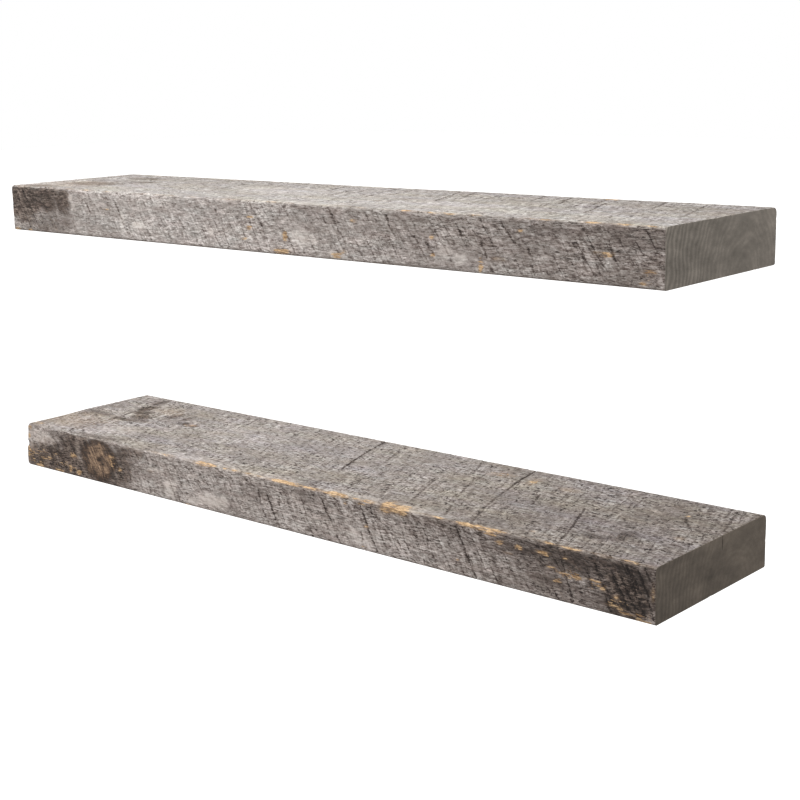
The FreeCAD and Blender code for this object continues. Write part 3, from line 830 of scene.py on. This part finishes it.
LOWER_WEAR = {
    "lean": 0.56,
    "front_marks": (
        (1.0, (-125, 0), (-119, -12)), (0.8, (-60, 12), (-55, 5)), (0.8, (-27, 8), (-25, 0)),
        (1.0, (-18, 6), (-12, -6), (-6, -17)), (0.8, (-5.5, 6), (-5.5, 0)),
        (0.8, (-22, -8), (-17, -16)), (0.9, (17, 8), (21, -2)), (0.9, (25, -11), (27, -17)),
        (1.0, (36.5, 12), (41, 3), (46, -3)), (0.9, (50, -12), (54, -17)),
        (1.0, (72, 15), (78, 2), (82, -7), (88, -16)), (1.0, (72.5, -5), (74.5, -10)),
        (1.0, (105, -3), (108.5, -10)), (1.0, (112, -4), (116, -10)), (0.8, (132, 3), (132, -3)),
        (1.0, (156, 14), (161, 5), (165, -4), (172, -17)), (0.9, (182, -4), (189, -15)),
        (0.9, (238, 9), (247, -15)), (0.9, (268, 0), (278, -13)), (1.0, (280.5, 8), (287.5, -5)),
        (1.0, (284.5, 15), (291, 1.5)), (0.8, (275.5, 6), (281.5, -3)),
        (1.0, (287.5, 4), (298, -14)), (1.0, (292.5, 14), (300, -1)), (0.9, (297, 16), (303, 6)),
        (0.9, (299, -3), (304, -15)), (0.8, (262, 12), (267, 2)), (0.9, (270, -8), (274, -16)),
        (1.0, (289, -7), (294, -17)), (0.9, (282, -4), (286, -12)), (0.9, (288, 12), (293, 3)),
    ),
    "top_marks": (
        (1.0, (-20, 0), (-10, -33), (-2, -56), (9, -84)), (0.9, (124, 0), (131, -32), (138, -56)),
        (0.5, (138, -56), (143, -73)), (0.5, (143, -73), (152, -100), (166, -132)),
        (0.5, (-156, -5), (-145, -35)), (0.5, (-272, -5), (-262, -50), (-250, -128)),
        (0.8, (162, -50), (172, -73)), (0.8, (205, -60), (220, -95), (233, -130)),
        (0.6, (-62, -5), (-52, -32)), (0.6, (38, -90), (50, -128)), (0.5, (80, -60), (100, -110)),
        (0.5, (102, -45), (122, -90)), (0.5, (77, -2), (94, -37)), (0.6, (268, -39), (285, -61)),
        (0.5, (67, -98), (81, -122)), (0.5, (130, -106), (142, -128)), (0.5, (8, -18), (22, -51)),
        (0.6, (-124, 0), (-116, -12)), (0.6, (-89, 0), (-84, -10)),
        (0.7, (-258, -118), (-250, -132)), (0.5, (-130, -61), (-118, -81)),
        (0.5, (-85, -61), (-71, -90)), (0.5, (288, -8), (302, -50)),
    ),
    "front_rubs": (
        (-77, -9.5, 19, 6.5, 1.0), (-64, -6, 5, 3, 1.0), (-124, -8, 9, 9, 0.8),
        (-142, 4, 9, 3, 0.5), (-95, -13, 14, 4, 0.7), (66, -7, 8, 5, 0.55), (-98, 6, 7, 2, 0.6),
        (-284, 8, 24, 7, 0.55), (-236, 8, 4, 12, 0.5), (75, -11, 12, 6, 0.4),
    ),
    "top_rubs": (
        (-222, -105, 26, 16, 0.45), (-120, -60, 60, 30, 0.2), (-95, -129, 46, 9, 0.5),
        (-15, -129, 34, 8, 0.45), (62, -129, 36, 8, 0.45), (120, -129, 30, 9, 0.5),
    ),
    "front_flecks": (
        (-303, 7, 2.5, 3, 0.8), (-302, 14, 4, 2, 0.8), (-242, -1, 6, 1.8, 1),
        (-247, -12, 2.5, 4, 0.9), (-236, -14, 4, 3, 0.9), (-262, -16, 8, 1.5, 0.8),
        (-288, -16, 9, 2, 0.8), (-303, -9, 2, 6, 0.7), (-184, -3, 4.05, 2.2, 0.6),
        (-146, 2, 5.4, 0.8, 0.5), (-105, -17, 5.4, 0.8, 0.8), (10, 7, 4.05, 0.8, 0.7),
        (59, 13, 2.7, 1.1, 0.9), (74, 15, 5.4, 1.1, 0.9), (78, 0, 2.7, 1.5, 0.8),
        (76, -15, 4.05, 1.1, 0.7), (157, -7, 2.03, 0.8, 1), (183, 15, 8.1, 1.2, 1),
        (191, 11, 4.05, 1.9, 0.9), (206, 11, 4.05, 1.4, 1), (224, 11, 6.75, 1.2, 1),
        (241, 11, 3.24, 0.8, 1), (198, 5, 5.4, 0.8, 0.8), (230, 3, 5.4, 0.98, 0.9),
        (240, 1, 8.1, 1.2, 0.8), (250, 0, 4, 1.2, 0.9), (262, 1, 7, 1, 1), (268, -3, 3, 1.4, 0.9),
        (235, -5, 4.05, 1.2, 1), (278, -6, 3, 2, 0.8), (276, -12, 7, 1, 0.7),
        (286, -15, 7, 1, 0.7), (297, -17, 7, 1.2, 1), (303, 2, 2, 8, 0.5),
    ),
    "front_grazes": (
        (-274, -8, 34, 11, 0.5), (-240, -13, 9, 6, 0.75), (-299, -8, 8, 10, 0.7),
        (-244, 0, 6, 3, 0.7), (-193, 3, 7, 10, 0.62), (188, 13, 11, 4, 0.5),
        (205, 10, 5, 3, 0.6), (224, 10, 8, 3, 0.6), (242, 1, 18, 4, 0.6),
        (264, -1, 10, 6, 0.7), (236, -5, 5, 3, 0.6), (279, -11, 12, 7, 0.55),
        (296, -14, 8, 4, 0.5),
    ),
    "top_flecks": (
        (112, -27, 14, 7, 0.4), (141, -29, 6, 12, 0.4), (174, -30, 11, 6, 0.38),
        (-184, -58, 10, 5, 0.4), (-234, -36, 18, 14, 0.4), (268, -35, 2.5, 3, 0.6),
        (287, -78, 4, 5, 0.4), (207, -120, 3, 3, 0.5), (-278, -102, 40, 28, 0.4),
        (-296, -127, 12, 5, 0.5),
    ),
    "top_grazes": (
        (110, -25, 20, 6, 0.5), (141, -29, 5, 10, 0.45), (-184, -58, 10, 5, 0.5),
        (-234, -36, 16, 12, 0.2), (268, -35, 8, 8, 0.4), (-280, -104, 30, 22, 0.12),
    ),
    "front_stains": (
        (-262, -8, 56, 18, 0.95), (-240, 8, 28, 18, 0.8), (-180, 0, 16, 22, 0.7),
        (-209, -6, 44, 26, 0.75), (-168, 12, 22, 8, 0.5), (250, 10, 62, 12, 0.55),
        (285, -2, 26, 24, 0.74), (235, -10, 30, 10, 0.3),
    ),
    "top_stains": (
        (-269, -18, 7, 16, 0.55), (-262, -38, 10, 13, 0.8), (-253, -51, 12, 9, 0.75),
        (-241, -62, 13, 10, 0.8), (-232, -71, 12, 7, 0.55), (-219, -46, 6, 16, 0.5),
        (-202, -45, 6, 10, 0.45), (-192, -57, 9, 6, 0.55), (-179, -59, 6, 4, 0.7),
        (-282, -73, 24, 6, 0.45), (-246, -76, 22, 5, 0.55), (-220, -130, 36, 6, 0.5),
        (258, -96, 9, 16, 0.55), (242, -106, 14, 7, 0.5),
    ),
    "front_knots": ((-209, 1.5, 21, 17),),
    "worn_edge": ((-HALF_LONG, HALF_LONG, 0.8, 0.6), (-145, -108, 1.6, 0.6), (-92, -62, 2.8, 0.85),
                  (-55, -22, 1.8, 0.65), (-15, 60, 2.8, 0.8), (66, 84, 2.4, 0.8),
                  (92, 114, 6.0, 0.9), (118, 155, 1.4, 0.7), (155, 190, 2.6, 0.85),
                  (190, 225, 1.2, 0.7), (225, 262, 1.6, 0.8), (266, 300, 1.4, 0.75)),
    "tone": lower_tone_and_painted_light,
    "form": broken_corner,
}

lower_beam = beam_mesh("lower_beam", "lower_shelf_beam", LOWER_WEAR, 200, (
    weathered_wood("lower_lumber", (0.752, 0.716, 0.703), 1.01, 0.74),
    cut_end("lower_end_grain", (0.590, 0.555, 0.515), SHELF_LINES["lower"], 0.6, 0.005),
    # the check's walls get a near-black finish: painted shade inside the narrow split
    bpy.data.materials["routed_wood"], split_painted_shade("check_walls")))
cut_seat(lower_beam, SHELF_LINES["lower"])
open_check(lower_beam, SHELF_LINES["lower"])
hang(lower_beam, "lower_shelf_beam", "lower_shelf")


# ---------------------------------------- Bracket plates
# Flat mild-steel bars, one behind each shelf, punched for the rods and countersunk for three
# screws, then zinc plated. The rolled sides show faint draw lines along the bar.


def zinc(name, along, worn, polish):
    """Bright zinc plating with a bluish bloom, faint lines along one axis and a duller skin."""
    steel = Finish(name)
    spot = steel.place()
    bloom = steel.noise(spot, (0.09, 0.09, 0.09), 3.0, 0.6)
    fine = [1.6, 1.6, 1.6]
    fine["XYZ".index(along)] = 0.03
    lines = steel.noise(spot, tuple(fine), 3.0, 0.6)
    specks = steel.noise(spot, (0.9, 0.9, 0.9), 2.0).fade(0.62, 0.72)
    shine = bloom + (lines - 0.5) * 0.5 - specks * worn + polish
    colour = steel.ramp(shine, (
        (0.2, (0.330, 0.320, 0.310)),
        (0.45, (0.560, 0.565, 0.570)),
        (0.7, (0.720, 0.735, 0.760)),
        (1.0, (0.930, 0.935, 0.940)),
    ))
    rough = 0.46 - polish * 0.5 - (bloom - 0.5) * 0.5 + (lines - 0.5) * 0.25 + specks * worn
    return steel.surface(colour, rough, [(lines, 0.02), (specks, 0.015)], Metallic=1.0)


plate_zinc = zinc("zinc_plate", "X", 0.25, 0.0)
for shelf in SHELF_LINES:
    plate = frame["nodes"][f"{shelf}_bracket_plate"]
    plate.data.materials.clear()
    plate.data.materials.append(plate_zinc)


# ---------------------------------------- Bracket rods
# Drawn steel bar, 12 mm thick, turned down to a spigot that sits in the plate. A hand-laid fillet
# weld runs round its foot. Plated with the plate.

PLATE, SPIGOT, ROD = 4.0, 4.5, 6.0  # the plate's thickness, and radii inside it and beyond it
WELD_LEG, WELD_RIPPLES = 2.0, 17
CHAMFER, TIP = -102.5, (-104.0, 4.5)  # where the chamfer starts, and (y, radius) where it ends


def bracket_rod(name, x, z):
    """A rod with the ripples of its weld, kept within the leg of the fillet."""
    around = 68
    turn = np.linspace(0, 2 * math.pi, around, endpoint=False)
    profile = [(-0.3, SPIGOT), (-PLATE, SPIGOT)]
    for share in np.linspace(0, 1, 9):
        ripple = 0.5 - 0.5 * np.cos(turn * WELD_RIPPLES + 2.2 * share + 0.6 * np.sin(3 * turn))
        sag = 0.28 * math.sin(math.pi * share)
        radius = ROD + WELD_LEG - WELD_LEG * share - sag - (0.3 - 0.2 * share) * ripple
        profile.append((-PLATE - WELD_LEG * share, np.maximum(radius, ROD)))
    profile += [(y, ROD) for y in np.linspace(-12, CHAMFER, 10)] + [TIP]
    return lofted(name, turned_rings(x, z, profile, around))


def plate_over(piece, finish, crease):
    """Plates a piece and smooths it, save for edges sharper than the crease in degrees."""
    piece.data.materials.append(finish)
    piece.data.polygons.foreach_set("use_smooth", np.ones(len(piece.data.polygons), bool))
    piece.data.set_sharp_from_angle(angle=math.radians(crease))


rod_zinc = zinc("zinc_rod", "Y", 0.35, 0.05)
for shelf, line in SHELF_LINES.items():
    for side, x in (("left", -BORE_SPACING / 2), ("right", BORE_SPACING / 2)):
        rod = bracket_rod(f"{shelf}_{side}_rod", x, line)
        plate_over(rod, rod_zinc, 38)
        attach(rod, "wall_brackets")
        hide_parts(f"{shelf}_{side}_bracket_rod")


# ---------------------------------------- Screws
# Hardened steel wood screws with a rolled thread, a countersunk head and a pressed cross recess,
# zinc plated. Three drive through each plate into the wall's studs.

SCREW_SPACING = 203.0
THREAD_PITCH, THREAD_CREST, THREAD_ROOT, NECK = 2.2, 2.5, 1.65, 1.9
HEAD = ((-4.0, 3.95), (-3.75, 4.5), (-3.6, 4.4), (-1.15, NECK), (0.0, NECK))  # (y, radius)
SCREW_TIP = 46.0
CROSS = ((-4.4, 2.62, 0.74), (-4.0, 2.5, 0.7), (-2.2, 1.0, 0.42))  # (y, reach, half width)


def wood_screw(name, x, z):
    """A screw whose thread is one ridge that climbs the shank and runs out at both ends."""
    around = 24
    turn = np.linspace(0, 2 * math.pi, around, endpoint=False)
    profile = list(HEAD)
    for y in np.arange(0.25, 45.8, 0.25):
        outside = min(NECK + 0.6 * (y / 1.5), THREAD_CREST, (SCREW_TIP - y) / 5 * THREAD_CREST)
        core = min(THREAD_ROOT, outside * 0.75)
        phase = (y / THREAD_PITCH - turn / (2 * math.pi)) % 1
        ridge = np.clip(1 - np.abs(phase - 0.5) / 0.24, 0, 1)
        profile.append((y, core + (outside - core) * ridge))
    profile.append((SCREW_TIP, 0.04))
    screw = lofted(name, turned_rings(x, z, profile, around))
    layers = []
    for y, reach, half in CROSS:
        shape = []
        for cos, sin in ((1, 0), (0, 1), (-1, 0), (0, -1)):
            shape += [(x + cos * a - sin * b, y, z + sin * a + cos * b)
                      for a, b in ((reach, half), (half, half), (half, reach))]
        layers.append(shape)
    carve(screw, lofted("cross", layers))
    return screw


screw_zinc = zinc("zinc_screw", "Y", 0.15, 0.35)
for shelf, line in SHELF_LINES.items():
    for side, x in (("left", -SCREW_SPACING), ("middle", 0.0), ("right", SCREW_SPACING)):
        screw = wood_screw(f"{shelf}_{side}_wood_screw", x, line)
        plate_over(screw, screw_zinc, 35)
        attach(screw, "wall_brackets")
        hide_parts(f"{shelf}_{side}_screw")


# ---------------------------------------- Room, light and camera
# A white studio sweep well under the shelves. A large soft lamp high on the left lights each
# shelf by itself, so that neither throws a shadow on the other.

SWEEP, SWEEP_LEVEL = 12.0, -0.6  # metres: half a side, and height
WHITE = (1.0, 1.0, 1.0, 1.0)
floor_mesh = bpy.data.meshes.new("floor")
floor_mesh.from_pydata([(SWEEP * a, SWEEP * b, SWEEP_LEVEL) for a, b in (
    (-1, -1), (1, -1), (1, 1), (-1, 1))], [], [(0, 1, 2, 3)])
floor = in_scene("floor", floor_mesh)
floor_mesh.materials.append(Finish("white_sweep").surface((0.92, 0.92, 0.92, 1.0), 0.9, **{
    "Emission Color": WHITE, "Emission Strength": 1.0}))
floor.visible_diffuse = floor.visible_glossy = False

world = bpy.data.worlds.new("studio")
bpy.context.scene.world = world
world.use_nodes = True
sky = world.node_tree
sky.nodes.clear()
seen, lit, mix, path, end = (sky.nodes.new("ShaderNode" + kind) for kind in (
    "Background", "Background", "MixShader", "LightPath", "OutputWorld"))
for light, colour, strength in ((seen, WHITE, 1.0), (lit, (1.045, 1.0, 0.985, 1.0), 0.36)):
    light.inputs["Color"].default_value = colour
    light.inputs["Strength"].default_value = strength
sky.links.new(path.outputs["Is Camera Ray"], mix.inputs["Fac"])
sky.links.new(lit.outputs["Background"], mix.inputs[1])
sky.links.new(seen.outputs["Background"], mix.inputs[2])
sky.links.new(mix.outputs["Shader"], end.inputs["Surface"])

for shelf in SHELF_LINES:
    lamp = bpy.data.lights.new(shelf + "_softbox", "AREA")
    lamp.shape, lamp.size, lamp.size_y, lamp.energy = "RECTANGLE", 2.7, 2.1, 125.0
    softbox = in_scene(lamp.name, lamp)
    softbox.location = (-1.17, -1.35, 2.58)
    softbox.rotation_mode = "QUATERNION"
    aim = Vector((0, -0.06, 0)) - softbox.location
    softbox.rotation_quaternion = aim.to_track_quat("-Z", "Y")
    group = bpy.data.collections.new(shelf + "_lit")
    for piece in bpy.context.scene.objects:
        if piece.name.startswith(shelf) and piece.type == "MESH":
            group.objects.link(piece)
    softbox.light_linking.receiver_collection = group
    softbox.light_linking.blocker_collection = group

EYE = Vector((0.7444, -0.8611, 0.2108))
TURN, TILT, ROLL = (math.radians(a) for a in (41.07, 12.69, -1.2))
FOCAL, FRAME, SENSOR = 1521.1, 800, 36.0  # pixels, pixels, millimetres
ahead = Vector((-math.sin(TURN) * math.cos(TILT), math.cos(TURN) * math.cos(TILT), -math.sin(TILT)))
side = Vector((math.cos(TURN), math.sin(TURN), 0))
above = side.cross(ahead)
side, above = (math.cos(ROLL) * side + math.sin(ROLL) * above,
               math.cos(ROLL) * above - math.sin(ROLL) * side)
lens = bpy.data.cameras.new("camera")
lens.sensor_width, lens.lens = SENSOR, FOCAL / FRAME * SENSOR
lens.clip_start, lens.clip_end = 0.05, 60.0
camera = in_scene("camera", lens)
camera.matrix_world = Matrix.Translation(EYE) @ Matrix((side, above, -ahead)).transposed().to_4x4()
bpy.context.scene.camera = camera
bpy.context.scene.view_settings.view_transform = "Standard"
